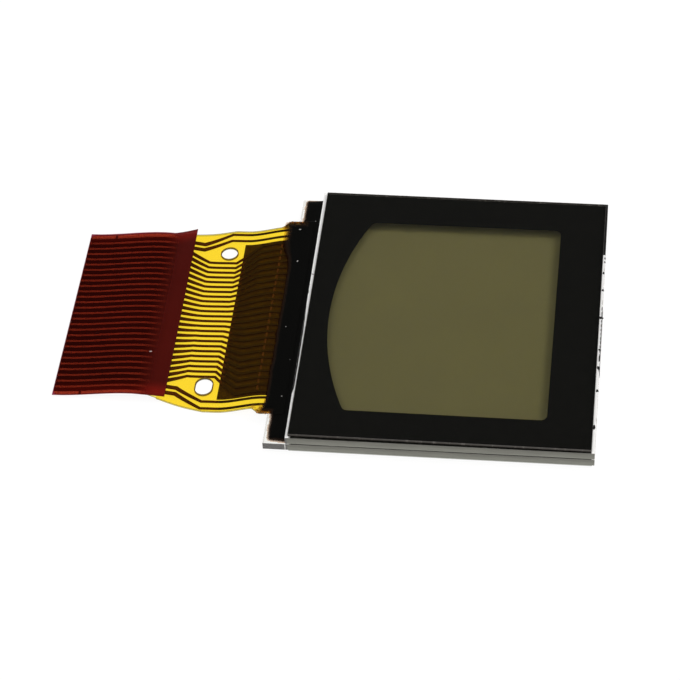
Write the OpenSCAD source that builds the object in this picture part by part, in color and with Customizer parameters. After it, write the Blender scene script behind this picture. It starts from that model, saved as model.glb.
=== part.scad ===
// Reflective glass display cell with a bonded flexible printed circuit.
// The cell lies face up: X runs from the circuit's free end towards the glass, Y from the
// front edge to the back edge, and Z out of the viewing face. The origin is the centre of
// the cell's rear face.

/* [Glass] */
// Width of the front glass
glass_w = 18.6; // [16:0.1:26]
// Depth of both glasses, front edge to back edge
glass_h = 22; // [20:0.1:28]
// Thickness of each glass
glass_t = 0.5; // [0.4:0.05:1.1]
// Contact ledge of the rear glass, left of the front glass
ledge_w = 1.38; // [1.1:0.01:3]
// How far the rear glass stops short of the front glass at the back
rear_short = 0.2; // [0.02:0.01:0.4]
// Gap between the two glasses
cell_gap = 0.05; // [0.03:0.01:0.1]

/* [Seal] */
// Width of the seal line between the glasses
seal_w = 0.9; // [0.5:0.1:1.5]
// Setback of the seal line from the glass edges
seal_setback = 0.12; // [0.05:0.01:0.3]
// Width of the filling port in the seal's right side
port_w = 5.4; // [1:0.1:7]
// How far the filling port lies in front of the cell's middle
port_shift = 1.2; // [0:0.1:2]
// How far the end seal beads out of the glass edge
bead_out = 0.1; // [0.05:0.01:0.2]

/* [Films] */
// Thickness of the front polariser
front_film_t = 0.2; // [0.12:0.01:0.3]
// Thickness of the rear polariser
rear_film_t = 0.14; // [0.1:0.01:0.3]
// Thickness of the reflector sheet
reflector_t = 0.06; // [0.04:0.01:0.2]
// Thickness of the printed black mask
mask_t = 0.03; // [0.01:0.01:0.05]
// Bare glass left at each side of the films
film_margin_x = 0.15; // [0.12:0.01:0.5]
// Bare glass left at the front of the films
film_margin_front = 0.13; // [0.12:0.01:0.5]
// Bare glass left at the back of the films
film_margin_back = 0.18; // [0.04:0.01:0.5]
// Sideways lay-down error of the front film
film_shift = 0.05; // [0:0.01:0.05]
// Lay-down angle of the front film, in degrees clockwise
film_turn = 0.2; // [0:0.05:0.25]

/* [Window] */
// Width of the mask left of the window, at the middle of its bowed side
window_left = 1.5; // [1:0.1:4]
// Width of the mask right of the window
window_right = 3; // [1:0.1:4]
// Width of the mask in front of the window
window_front = 2.5; // [1:0.05:4]
// Width of the mask behind the window
window_back = 2.7; // [1:0.05:4]
// Radius of the window's bowed left side
window_bow_r = 20.3; // [15:0.1:40]
// How far the bow's middle lies in front of the cell's middle
window_bow_shift = 0.3; // [0:0.1:1]
// Radius of the window's corners
window_corner_r = 0.4; // [0.1:0.1:1]

/* [Flexible circuit] */
// Length from the ledge's edge to the circuit's free end
tail_len = 13.62; // [12:0.01:30]
// Number of conductors
contacts = 28; // [20:2:28]
// Spacing of the contacts at the free end
contact_pitch = 0.5; // [0.4:0.01:0.52]
// Width of a contact at the free end
contact_w = 0.3; // [0.2:0.01:0.32]
// Spacing of the contacts on the ledge
bond_pitch = 0.58; // [0.5:0.01:0.6]
// Width of the conductors between the contacts
line_w = 0.19; // [0.1:0.01:0.27]
// Bare film beside the outer contacts at the free end
tail_margin = 0.47; // [0.4:0.01:0.8]
// Bare film beside the outer conductors near the ledge
neck_margin = 0.27; // [0.2:0.01:0.5]
// How far each bonding tab stands out beside the neck
tab_out = 0.48; // [0.1:0.01:0.6]
// Length of the bonding tabs left of the ledge
tab_lead = 0.57; // [0.5:0.01:1]
// Length of circuit bonded on the ledge
bond_len = 1.03; // [0.6:0.01:1.05]
// Thickness of the base film
base_t = 0.06; // [0.03:0.005:0.1]
// Thickness of the conductors
copper_t = 0.035; // [0.018:0.001:0.05]
// Thickness of the cover film under the conductors
cover_t = 0.05; // [0.025:0.005:0.08]
// Thickness of the bonding adhesive
bond_t = 0.03; // [0.01:0.005:0.05]
// Height of the wave under the contacts, above the surface the cell lies on
wave_h = 0.47; // [0.1:0.01:0.8]
// Distance from the free end to the top of the wave
wave_len = 5; // [3:0.1:6]

/* [Locating holes] */
// Distance from the ledge's edge to the holes
hole_setback = 4.32; // [4.3:0.01:5]
// Distance between the two holes
hole_span = 12; // [11:0.1:12.2]
// Diameter of the round hole and width of the slot
hole_d = 1.05; // [0.6:0.05:1.2]
// Length of the slot
slot_len = 1.4; // [1.3:0.1:1.5]
// Bare film between a hole and the nearest conductor
hole_clear = 0.25; // [0.1:0.01:0.3]

/* [Dark film] */
// Length of the dark film under the circuit
shield_len = 3.15; // [2:0.05:3.2]
// Distance from the ledge's edge to the dark film
shield_setback = 0.25; // [0.25:0.05:0.6]
// Thickness of the dark film
shield_t = 0.05; // [0.025:0.005:0.1]
// Width of the slit across the dark film
slit_w = 0.12; // [0.05:0.01:0.3]
// Distance from the ledge's edge to the slit's middle
slit_setback = 0.92; // [0.8:0.01:1.3]

/* [Contact cover] */
// Length of the red film over the contacts
red_len = 7.05; // [5:0.05:8]
// Thickness of the red film
red_t = 0.05; // [0.03:0.01:0.1]
// How far the red film's free edge stands off the circuit
peel_h = 0.35; // [0:0.05:1]
// Length of the red film that has come loose
peel_len = 1.4; // [0.5:0.1:3]
// How far the red film stands out past the circuit's end and sides
red_over = 0.03; // [0:0.01:0.2]

/* [Resin] */
// Width of the sealing resin on the bare ends of the ledge
resin_w = 1.15; // [0.6:0.01:1.25]
// How far the resin runs over the circuit, left of the ledge's edge
resin_over = 0.3; // [0.1:0.05:0.5]
// Height of the resin against the front glass, above the ledge
resin_h = 0.3; // [0.2:0.01:0.4]
// Setback of the resin from the ledge's front and back ends
resin_setback = 0.28; // [0.1:0.01:0.6]
// Setback of the resin from the ends of the bonding tabs
resin_tab_setback = 0.05; // [0.03:0.01:0.3]
// Radius of the resin's outer corners
resin_corner_r = 0.5; // [0.1:0.1:0.8]

/* [Hidden] */
$fn = 64;
cutter = 5;
rear_z = reflector_t + rear_film_t;
ledge_z = rear_z + glass_t;
front_z = ledge_z + cell_gap;
mask_z = front_z + glass_t;
glass_x = -glass_w / 2;
ledge_x = glass_x - ledge_w;
film_w = glass_w - 2 * film_margin_x;
film_h = glass_h - film_margin_front - film_margin_back;
film_y = (film_margin_front - film_margin_back) / 2;

// Seal
ring_w = glass_w - 2 * seal_setback;
ring_h = glass_h - rear_short - 2 * seal_setback;
port_x = ring_w / 2 - seal_w;
bead_chord = 0.7 * (2 * glass_t + cell_gap);
bead_r = (bead_chord * bead_chord / 4 + bead_out * bead_out) / (2 * bead_out);

// Plan of the circuit, half widths first
middle = (contacts - 1) / 2;
tail_hw = middle * contact_pitch + tail_margin;
neck_hw = middle * bond_pitch + neck_margin;
tab_hw = neck_hw + tab_out;
tail_x = ledge_x - tail_len;
flex_end_x = ledge_x + bond_len;
hole_x = ledge_x - hole_setback;
hole_pitch = (hole_span / 2 - hole_d / 2 - hole_clear - line_w / 2) / (middle - 2);
neck_lead = 0.2;
taper_len = 3.6;
neck_x = hole_x + neck_lead;
taper_x = neck_x - taper_len;
outline_r = 0.3;

// Plan of the conductors
contact_gap = 1.87;
squeeze_len = 1.2;
spread_lead = 0.7;
fan_gap = 0.05;
fan_len = 1.45;
line_gap = 0.1;
contact_end_x = hole_x - hole_d / 2 - contact_gap;
squeeze_end_x = contact_end_x + squeeze_len;
spread_start_x = contact_end_x + spread_lead;
spread_end_x = hole_x;
fan_start_x = hole_x + hole_d / 2 + fan_gap;
fan_end_x = fan_start_x + fan_len;
line_end_x = flex_end_x - line_gap;
mark_w = 0.15;
mark_len = 0.32;
mark_setback = 1.67;
mark_x = tail_x + mark_setback;

// Lie of the circuit: height of the conductors' underside along X
bond_z = ledge_z + bond_t;
lie_lead = 0.9;
ledge_lead = 0.25;
lie_knots = [
  [tail_x, 0],
  [tail_x + wave_len, wave_h],
  [hole_x - lie_lead, cover_t],
  [hole_x + lie_lead, cover_t + shield_t],
  [ledge_x - ledge_lead, bond_z],
  [flex_end_x, bond_z]
];
lie_steps = 8;

// Cover films
cover_lead = 0.4;
cover_setback = 0.2;
slit_end = 0.3;
cover_x = contact_end_x - cover_lead;
cover_end_x = ledge_x - cover_setback;
shield_x = ledge_x - shield_setback - shield_len;
shield_hw = (middle - 1.5) * bond_pitch;
slit_hw = shield_hw - slit_end;
red_x = tail_x - red_over;
red_end_x = red_x + red_len;
peel_x = red_end_x - peel_len;

function conductor_name(i) = str("conductor_", i < 10 ? "0" : "", i);

function unit(v) = v / norm(v);

function turned(v, a) = [v[0] * cos(a) - v[1] * sin(a), v[0] * sin(a) + v[1] * cos(a)];

// Points of the arc of radius r that rounds the corner b between a and c
function corner(a, b, c, r, steps = 4) =
  let (
    u = unit(a - b),
    v = unit(c - b),
    half = acos(u * v) / 2,
    centre = b + unit(u + v) * r / sin(half),
    start = b + u * r / tan(half) - centre,
    swing = (180 - 2 * half) * sign(cross(v, u))
  )
  [for (k = [0:steps]) centre + turned(start, swing * k / steps)];

// A closed outline with every corner rounded to radius r
function rounded(p, r) =
  let (n = len(p))
  [for (i = [0:n - 1]) each corner(p[(i + n - 1) % n], p[i], p[(i + 1) % n], r)];

// Left and right edge points of a line through p, where each point is [x, y, width]
function flat2(p) = [p[0], p[1]];
function across(d) = [-d[1], d[0]];
function heading(p, i) = unit(flat2(p[i + 1]) - flat2(p[i]));
function side_step(p, i) =
  i == 0 ? across(heading(p, 0)) :
  i == len(p) - 1 ? across(heading(p, i - 1)) :
  let (n = unit(across(heading(p, i - 1) + heading(p, i))))
  n / (n * across(heading(p, i)));
function stroke(p) = concat(
  [for (i = [0:len(p) - 1]) flat2(p[i]) + side_step(p, i) * p[i][2] / 2],
  [for (i = [len(p) - 1:-1:0]) flat2(p[i]) - side_step(p, i) * p[i][2] / 2]
);

// Smooth rise or fall between two knots of the lie
function ease(t) = t * t * (3 - 2 * t);
function eased(a, b, t) = [a[0] + (b[0] - a[0]) * t, a[1] + (b[1] - a[1]) * ease(t)];
lie_points = concat(
  [lie_knots[0]],
  [for (i = [1:len(lie_knots) - 1])
    let (a = lie_knots[i - 1], b = lie_knots[i], n = a[1] == b[1] ? 1 : lie_steps)
    for (k = [1:n]) eased(a, b, k / n)]
);
function lie(x) = lookup(x, lie_points);
function stations(x0, x1) = concat(
  [x0],
  [for (p = lie_points) if (p[0] > x0 + 0.01 && p[0] < x1 - 0.01) p[0]],
  [x1]
);

// Extrudes an X-Z profile across the whole circuit
module across_circuit(half_width) {
  rotate([90, 0, 0])
    linear_extrude(2 * half_width, center = true)
      children();
}

// One layer of the circuit, from z0 to z1 above the conductors' underside
module layer(z0, z1, x0, x1, half_width = tab_hw + 1) {
  xs = stations(x0, x1);
  across_circuit(half_width)
    polygon(concat(
      [for (x = xs) [x, lie(x) + z0]],
      [for (i = [len(xs) - 1:-1:0]) [xs[i], lie(xs[i]) + z1]]
    ));
}

module circuit_outline() {
  half = [
    [flex_end_x, tab_hw],
    [ledge_x - tab_lead, tab_hw],
    [ledge_x - tab_lead - tab_out, neck_hw],
    [neck_x, neck_hw],
    [taper_x, tail_hw],
    [tail_x, tail_hw]
  ];
  mirrored = [for (i = [len(half) - 1:-1:0]) [half[i][0], -half[i][1]]];
  polygon(rounded(concat(half, mirrored), outline_r));
}

// The round hole at the back and the slot at the front
module locating_holes() {
  slide = (slot_len - hole_d) / 2;
  translate([hole_x, hole_span / 2, -cutter / 2])
    cylinder(h = cutter, d = hole_d);
  translate([hole_x, -hole_span / 2, -cutter / 2]) {
    for (y = [-slide, slide])
      translate([0, y, 0])
        cylinder(h = cutter, d = hole_d);
    translate([-hole_d / 2, -slide, 0])
      cube([hole_d, 2 * slide, cutter]);
  }
}

// Centre line and width of conductor i, counted from the front
function conductor_path(i) =
  let (
    k = i - 1 - middle,
    outer = abs(k) > middle - 1.5,
    y_tail = k * contact_pitch,
    y_bond = k * bond_pitch,
    y_hole = k * hole_pitch
  )
  outer ?
    [[tail_x, y_tail, contact_w], [spread_start_x, y_tail, contact_w],
     [spread_end_x, y_bond, line_w], [line_end_x, y_bond, line_w]] :
    [[tail_x, y_tail, contact_w], [contact_end_x, y_tail, contact_w],
     [squeeze_end_x, y_hole, line_w], [fan_start_x, y_hole, line_w],
     [fan_end_x, y_bond, line_w], [line_end_x, y_bond, line_w]];

module film_plan() {
  translate([film_shift, film_y])
    rotate(-film_turn)
      square([film_w, film_h], center = true);
}

// The window's right edge, front and back are straight and its left side is an arc
module window_plan() {
  left = -glass_w / 2 + window_left;
  front = -glass_h / 2 + window_front;
  window_w = glass_w - window_left - window_right;
  window_h = glass_h - window_front - window_back;
  translate([film_shift, 0])
    rotate(-film_turn)
      offset(r = window_corner_r)
        offset(delta = -window_corner_r)
          intersection() {
            translate([left, front])
              square([window_w, window_h]);
            translate([left + window_bow_r, -window_bow_shift])
              circle(r = window_bow_r, $fn = 180);
          }
}

// Aluminised sheet behind the rear polariser
module reflector() {
  color("silver")
    translate([-film_w / 2, film_y - film_h / 2, 0])
      cube([film_w, film_h - rear_short, reflector_t]);
}

// Rear polariser, cut to the same size as the reflector
module rear_polariser() {
  color([0.32, 0.33, 0.28])
    translate([-film_w / 2, film_y - film_h / 2, reflector_t])
      cube([film_w, film_h - rear_short, rear_film_t]);
}

// Rear glass, with the contact ledge at its left
module rear_glass() {
  color([0.62, 0.66, 0.6, 0.6])
    translate([ledge_x, -glass_h / 2, rear_z])
      cube([glass_w + ledge_w, glass_h - rear_short, glass_t]);
}

// Plan of the seal line's outer side, or of a line that lies inset inside it
module cell_plan(inset) {
  translate([0, -rear_short / 2])
    square([ring_w - 2 * inset, ring_h - 2 * inset], center = true);
}

// Printed epoxy line between the glasses, open at the filling port
module seal_ring() {
  color([0.16, 0.15, 0.12])
    translate([0, 0, ledge_z])
      linear_extrude(cell_gap)
        difference() {
          cell_plan(0);
          cell_plan(seal_w);
          translate([port_x, -port_shift - port_w / 2])
            square([seal_w + seal_setback, port_w]);
        }
}

// Resin plug in the filling port, beaded over both glass edges
module end_seal() {
  color([0.35, 0.2, 0.12]) {
    translate([port_x, -port_shift - port_w / 2, ledge_z])
      cube([glass_w / 2 - port_x, port_w, cell_gap]);
    translate([glass_w / 2, -port_shift, ledge_z + cell_gap / 2])
      rotate([90, 0, 0])
        linear_extrude(port_w, center = true)
          intersection() {
            translate([bead_out - bead_r, 0])
              circle(r = bead_r, $fn = 96);
            translate([0, -bead_chord])
              square([bead_out + 1, 2 * bead_chord]);
          }
  }
}

// Liquid crystal that fills the cell inside the seal
module liquid_crystal() {
  color([0.42, 0.41, 0.27])
    translate([0, 0, ledge_z])
      linear_extrude(cell_gap)
        cell_plan(seal_w);
}

module front_glass() {
  color([0.62, 0.66, 0.6, 0.6])
    translate([glass_x, -glass_h / 2, front_z])
      cube([glass_w, glass_h, glass_t]);
}

// Black print on the underside of the front polariser, open at the window
module black_mask() {
  color([0.03, 0.03, 0.03])
    translate([0, 0, mask_z])
      linear_extrude(mask_t)
        difference() {
          film_plan();
          window_plan();
        }
}

// Front polariser: its adhesive fills the window of the mask down to the glass
module front_polariser() {
  color([0.36, 0.35, 0.22, 0.5])
    union() {
      translate([0, 0, mask_z + mask_t])
        linear_extrude(front_film_t - mask_t)
          film_plan();
      translate([0, 0, mask_z])
        linear_extrude(mask_t)
          window_plan();
    }
}

// Conductive adhesive between the ledge and the conductors
module bond_adhesive() {
  edge = 0.05;
  color([0.55, 0.4, 0.15])
    translate([ledge_x + edge, -tab_hw + edge, ledge_z])
      cube([bond_len - 2 * edge, 2 * (tab_hw - edge), bond_t]);
}

// Polyimide film that carries the conductors on its underside
module flex_base() {
  color([0.95, 0.68, 0.05, 0.8])
    difference() {
      intersection() {
        layer(copper_t, copper_t + base_t, tail_x, flex_end_x);
        linear_extrude(cutter)
          circuit_outline();
      }
      locating_holes();
    }
}

// Cover film under the conductors, left off at the contacts and on the ledge
module flex_coverlay() {
  color([0.85, 0.6, 0.1, 0.8])
    difference() {
      intersection() {
        layer(-cover_t, 0, cover_x, cover_end_x);
        translate([0, 0, -cutter / 2])
          linear_extrude(cutter)
            circuit_outline();
      }
      locating_holes();
    }
}

module conductor(i) {
  color([0.3, 0.18, 0.05])
    intersection() {
      layer(0, copper_t, tail_x, line_end_x);
      translate([0, 0, -cutter / 2])
        linear_extrude(cutter)
          polygon(stroke(conductor_path(i)));
    }
}

// Copper mark at each edge of the circuit, for lining up the contacts
module position_mark(side) {
  color([0.3, 0.18, 0.05])
    intersection() {
      layer(0, copper_t, mark_x - mark_w / 2, mark_x + mark_w / 2);
      translate([mark_x, side * (tail_hw - mark_len / 2), 0])
        cube([2 * mark_w, mark_len, cutter], center = true);
    }
}

// Dark film under the inner conductors, with a slit across it
module dark_film() {
  color([0.2, 0.13, 0.04])
    difference() {
      layer(
        -cover_t - shield_t, -cover_t, shield_x, ledge_x - shield_setback, shield_hw
      );
      translate([ledge_x - slit_setback - slit_w / 2, -slit_hw, -cutter / 2])
        cube([slit_w, 2 * slit_hw, cutter]);
    }
}

// Red film over the contacts: its edge nearest the glass has come loose
function peel(x) = x < peel_x ? 0 : peel_h * pow((x - peel_x) / peel_len, 2);
function red_z(x) = lie(x) + copper_t + base_t + peel(x);
module contact_cover_film() {
  xs = stations(red_x, red_end_x);
  color([0.5, 0.05, 0.03, 0.85])
    across_circuit(tail_hw + red_over)
      polygon(concat(
        [for (x = xs) [x, red_z(x)]],
        [for (i = [len(xs) - 1:-1:0]) [xs[i], red_z(xs[i]) + red_t]]
      ));
}

// A bead whose top curves up from its toe at x0, z0 to the front glass's side
module resin_bead(x0, z0, half_width) {
  run = glass_x - x0;
  rise = ledge_z + resin_h - z0;
  steps = 8;
  across_circuit(half_width)
    polygon(concat(
      [for (k = [0:steps]) [x0 + run * (1 - cos(90 * k / steps)), z0 + rise * sin(90 * k / steps)]],
      [[glass_x, ledge_z], [x0, ledge_z]]
    ));
}

// Plan of the resin on the bare ledge, with its two outer corners rounded
module resin_plan() {
  front = -glass_h / 2 + resin_setback;
  back = glass_h / 2 - rear_short - resin_setback;
  translate([glass_x - resin_w, front])
    offset(r = resin_corner_r)
      offset(delta = -resin_corner_r)
        square([2 * resin_w, back - front]);
}

// Resin that seals the bare ledge and the bonded end of the circuit
module sealing_resin() {
  color([0.07, 0.07, 0.06])
    difference() {
      union() {
        intersection() {
          resin_bead(glass_x - resin_w, ledge_z, glass_h / 2);
          linear_extrude(cutter)
            resin_plan();
        }
        resin_bead(
          ledge_x - resin_over, bond_z + copper_t + base_t, tab_hw - resin_tab_setback
        );
      }
      layer(-cutter, copper_t + base_t, tail_x, flex_end_x, tab_hw);
    }
}

reflector();
rear_polariser();
rear_glass();
seal_ring();
end_seal();
liquid_crystal();
front_glass();
black_mask();
front_polariser();
bond_adhesive();
flex_base();
flex_coverlay();
dark_film();
contact_cover_film();
sealing_resin();
position_mark(-1);  // position_mark_front
position_mark(1);  // position_mark_back
for (i = [1:contacts])
  conductor(i);
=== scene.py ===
import random
from math import cos, floor, hypot, pi, radians, sin, sqrt

import bpy
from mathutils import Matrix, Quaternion, Vector, noise
from mathutils.bvhtree import BVHTree


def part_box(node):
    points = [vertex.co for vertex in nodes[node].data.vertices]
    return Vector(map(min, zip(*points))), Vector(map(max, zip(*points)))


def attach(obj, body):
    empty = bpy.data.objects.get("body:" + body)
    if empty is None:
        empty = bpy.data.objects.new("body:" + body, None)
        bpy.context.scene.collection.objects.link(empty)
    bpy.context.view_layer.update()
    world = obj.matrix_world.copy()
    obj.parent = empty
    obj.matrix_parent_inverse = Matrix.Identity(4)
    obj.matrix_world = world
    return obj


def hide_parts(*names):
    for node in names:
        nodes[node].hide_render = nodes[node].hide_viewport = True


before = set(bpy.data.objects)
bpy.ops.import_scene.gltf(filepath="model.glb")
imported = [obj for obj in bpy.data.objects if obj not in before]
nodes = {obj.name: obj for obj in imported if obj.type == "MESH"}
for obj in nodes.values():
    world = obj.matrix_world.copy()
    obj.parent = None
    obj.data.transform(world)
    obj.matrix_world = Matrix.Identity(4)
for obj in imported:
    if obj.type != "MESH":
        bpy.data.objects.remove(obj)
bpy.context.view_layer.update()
scene = bpy.context.scene
scene.view_settings.view_transform = "Standard"

# ---------------------------------------------------------------- camera
# A long lens looks down on the display from in front and a little to its right, and is
# tipped slightly clockwise. The display is 33 mm long, so the sizes here are in millimetres.
MM = 0.001
VIEW_ELEVATION = radians(45.1)
VIEW_TURN = radians(8.37)
VIEW_ROLL = radians(-3.26)
VIEW_DISTANCE = 169.7 * MM
VIEW_TARGET = Vector((-7.02 * MM, -1.28 * MM, 0.0))
LENS, SENSOR = 142.9, 36.0
NEAREST = 10 * MM

look = Vector((
    -sin(VIEW_TURN) * cos(VIEW_ELEVATION),
    cos(VIEW_TURN) * cos(VIEW_ELEVATION),
    -sin(VIEW_ELEVATION),
))
camera = bpy.data.objects.new("camera", bpy.data.cameras.new("camera"))
camera.data.lens = LENS
camera.data.sensor_width = SENSOR
camera.data.clip_start = NEAREST
camera.location = VIEW_TARGET - look * VIEW_DISTANCE
camera.rotation_mode = "QUATERNION"
camera.rotation_quaternion = look.to_track_quat("-Z", "Y") @ Quaternion((0, 0, 1), VIEW_ROLL)
scene.collection.objects.link(camera)
scene.camera = camera

# ---------------------------------------------------------------- card, room and lamps
# The display lies on white card in a room with white walls and a dark ceiling, under three
# soft lamps. The card and the walls look plain white and keep the display's shadow.
CARD_SIZE, CARD_DROP = 4000, 0.01
CARD_GLOW, GLOW_SHARE = 1.05, 0.88
WALL_TOP, CEILING_START, CEILING_LIGHT = 0.34, 0.62, 0.07
FILL_LIGHT = 0.45


def linear(hex_colour):
    """An sRGB hex colour as linear red, green and blue, with an alpha of 1."""
    parts = [int(hex_colour[i:i + 2], 16) / 255 for i in (1, 3, 5)]
    return [p / 12.92 if p <= 0.04045 else ((p + 0.055) / 1.055) ** 2.4 for p in parts] + [1.0]


def add(tree, kind, feeds=None, out=0, **settings):
    """Adds a shader node and gives back its output, if it has one.

    feeds gives each input, by name or place, a number, a hex colour or another node's
    output. A colour Mix takes its two colours at 6 and 7 and gives its output 2."""
    made = tree.nodes.new("ShaderNode" + kind)
    for name, value in settings.items():
        setattr(made, name, value)
    for name, value in (feeds or {}).items():
        if isinstance(value, bpy.types.NodeSocket):
            tree.links.new(value, made.inputs[name])
        else:
            made.inputs[name].default_value = linear(value) if isinstance(value, str) else value
    return made.outputs[out] if len(made.outputs) else None


def new_material(name):
    """A material with an empty node tree. Returns the material and the tree."""
    material = bpy.data.materials.new(name)
    material.use_nodes = True
    material.node_tree.nodes.clear()
    return material, material.node_tree


def looked_at(tree):
    """1 for a ray from the camera, a mirror or a clear film, and 0 for stray light."""
    rays = add(tree, "LightPath").node.outputs
    seen = add(tree, "Math", {0: rays["Is Camera Ray"], 1: rays["Is Glossy Ray"]},
               operation="MAXIMUM")
    return add(tree, "Math", {0: seen, 1: rays["Is Transmission Ray"]}, operation="MAXIMUM")


# White card: a matt sheet, so bright that only the display's shadow shows on it.
white_card, tree = new_material("white card")
card = add(tree, "BsdfDiffuse", {"Color": "#f2f2f0"})
glow = add(tree, "Emission", {"Color": "#ffffff", "Strength": CARD_GLOW})
shown = add(tree, "MixShader", {0: GLOW_SHARE, 1: card, 2: glow})
lit = add(tree, "MixShader", {0: looked_at(tree), 1: card, 2: shown})
add(tree, "OutputMaterial", {"Surface": lit})

mesh = bpy.data.meshes.new("card")
half = CARD_SIZE * MM / 2
corners = [(-half, -half, 0), (half, -half, 0), (half, half, 0), (-half, half, 0)]
mesh.from_pydata(corners, [], [(0, 1, 2, 3)])
mesh.materials.append(white_card)
table = bpy.data.objects.new("card", mesh)
table.location.z = -CARD_DROP * MM
scene.collection.objects.link(table)

world = bpy.data.worlds.new("room")
world.use_nodes = True
world.node_tree.nodes.clear()
tree = world.node_tree
upward = add(tree, "TexCoord", out="Generated")
upward = add(tree, "SeparateXYZ", {"Vector": upward}, out="Z")
wall = add(tree, "MapRange", {
    "Value": upward, "From Min": WALL_TOP, "From Max": CEILING_START,
    "To Min": 1.0, "To Max": CEILING_LIGHT,
}, interpolation_type="SMOOTHSTEP")
fill = add(tree, "Background", {"Color": "#ffffff", "Strength": FILL_LIGHT})
seen_room = add(tree, "Background", {"Color": "#ffffff", "Strength": wall})
room = add(tree, "MixShader", {0: looked_at(tree), 1: fill, 2: seen_room})
add(tree, "OutputWorld", {"Surface": room})
scene.world = world


def lamp(name, turn, elevation, distance, size, power):
    """A square soft lamp that points at the display. Turn is degrees clockwise from +Y."""
    data = bpy.data.lights.new(name, "AREA")
    data.shape = "SQUARE"
    data.size = size
    data.energy = power
    soft = bpy.data.objects.new(name, data)
    soft.location = distance * Vector((
        sin(radians(turn)) * cos(radians(elevation)),
        cos(radians(turn)) * cos(radians(elevation)),
        sin(radians(elevation)),
    ))
    soft.rotation_mode = "QUATERNION"
    soft.rotation_quaternion = (-soft.location).to_track_quat("-Z", "Y")
    scene.collection.objects.link(soft)


lamp("right lamp", 70, 48, 0.6, 0.25, 1.6)
lamp("front lamp", 200, 42, 0.7, 0.5, 0.9)
lamp("top lamp", 250, 75, 0.7, 0.4, 0.9)

# ---------------------------------------------------------------- glass plates
# Two plates of soda-lime glass, scribed with a wheel and snapped to size. The faces are
# clear, the front cut edges are satin grey-green, the other cut edges are partly painted
# white as a painted reflection of the bright room, and their rims are chipped.

# The room that keeps the faces of two pieces from lying in one plane.
HAIR = 0.002
RIM_STEP = 0.07
RIM_WORN, CHIP_REACH = (0.006, 0.014), (0.7, 4.5)
FOOT_CHIPS, CHIP_SLOPE = 0.6, 0.8
FRONT_FACING, LEFT_LIT_BAND, RIGHT_LIT_BAND = (-0.35, -0.7), (0.27, 0.22), (0.22, 0.15)
LEDGE_DULL, HIGHLIGHT_X, HIGHLIGHT_HALF = 0.12, -0.015, 0.035
SMEAR_BACK, SMEAR_FRONT, SMEAR_WIDE = (1.6, -2.4), (-7.5, -6.6), 0.085
COVERED_Y, COVERED_X = 6.1, (0.5, 0.3)
rng = random.Random(11)


def span(node):
    """A CAD node's lowest and highest corner in millimetres."""
    low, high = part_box(node)
    return Vector(low) / MM, Vector(high) / MM


def piece(name, mesh, material, replaced=()):
    """Puts a mesh in millimetres in the scene as a piece that rides on the one body."""
    for vertex in mesh.vertices:
        vertex.co *= MM
    made = bpy.data.objects.new(name, mesh)
    scene.collection.objects.link(made)
    mesh.materials.append(material)
    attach(made, "root")
    if replaced:
        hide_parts(*replaced)


def chipped_rim(length, worst, density):
    """Chip depths at even steps along an edge: a hairline rim with a few shell-shaped chips."""
    count = max(2, round(length / RIM_STEP))
    depths = [rng.uniform(*RIM_WORN) for _ in range(count)]
    for _ in range(round(length * density)):
        middle = rng.uniform(0, count)
        reach = rng.uniform(*CHIP_REACH)
        deep = worst * rng.random() ** 2.2
        for i in range(max(0, floor(middle - reach)), min(count, floor(middle + reach) + 1)):
            near = 1 - ((i - middle) / reach) ** 2
            if near > 0:
                depths[i] = max(depths[i], deep * sqrt(near) * rng.uniform(0.8, 1.0))
    return depths


def cut_plate(name, low, high, worst, density, turn=0.0, middle=(0.0, 0.0)):
    """A thin plate with clear-cut sides and a chipped rim round both of its faces.

    worst and density give the deepest chip and chips per millimetre of the front, right,
    back and left side. The plate is turned about its middle."""
    corners = [(low[0], low[1]), (high[0], low[1]), (high[0], high[1]), (low[0], high[1])]
    inward = [(0, 1), (-1, 0), (0, -1), (1, 0)]
    wall = []
    for side in range(4):
        a, b = corners[side], corners[(side + 1) % 4]
        length = hypot(b[0] - a[0], b[1] - a[1])
        tops = chipped_rim(length, worst[side], density[side])
        feet = chipped_rim(length, worst[side] * FOOT_CHIPS, density[side])
        for i, (top, foot) in enumerate(zip(tops, feet)):
            t = i / len(tops)
            x, y = a[0] + (b[0] - a[0]) * t, a[1] + (b[1] - a[1]) * t
            n = inward[side]
            if i == 0:
                back = inward[side - 1]
                n = (n[0] + back[0], n[1] + back[1])
            wall.append((x, y, n, top, foot))
    thick = high[2] - low[2]
    rings = [[], [], [], []]
    c, s = cos(turn), sin(turn)

    def put(ring, x, y, z):
        px, py = x - middle[0], y - middle[1]
        ring.append((middle[0] + c * px - s * py, middle[1] + s * px + c * py, z))

    for x, y, n, top, foot in wall:
        put(rings[0], x + n[0] * foot, y + n[1] * foot, low[2])
        put(rings[1], x, y, low[2] + min(foot * CHIP_SLOPE, thick * 0.3))
        put(rings[2], x, y, high[2] - min(top * CHIP_SLOPE, thick * 0.4))
        put(rings[3], x + n[0] * top, y + n[1] * top, high[2])
    count = len(wall)
    faces = []
    for r in range(3):
        for i in range(count):
            j = (i + 1) % count
            faces.append((r * count + i, r * count + j, (r + 1) * count + j, (r + 1) * count + i))
    faces.append(tuple(range(count - 1, -1, -1)))
    faces.append(tuple(range(3 * count, 4 * count)))
    made = bpy.data.meshes.new(name)
    made.from_pydata([p for ring in rings for p in ring], [], faces)
    return made


def flatness(tree, low=0.9, high=0.98):
    """1 on a sheet's flat faces and 0 on its cut edges and chips."""
    normal = add(tree, "NewGeometry", out="True Normal")
    up = add(tree, "SeparateXYZ", {"Vector": normal}, out="Z")
    up = add(tree, "Math", {0: up}, operation="ABSOLUTE")
    return add(tree, "MapRange", {"Value": up, "From Min": low, "From Max": high})


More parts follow.
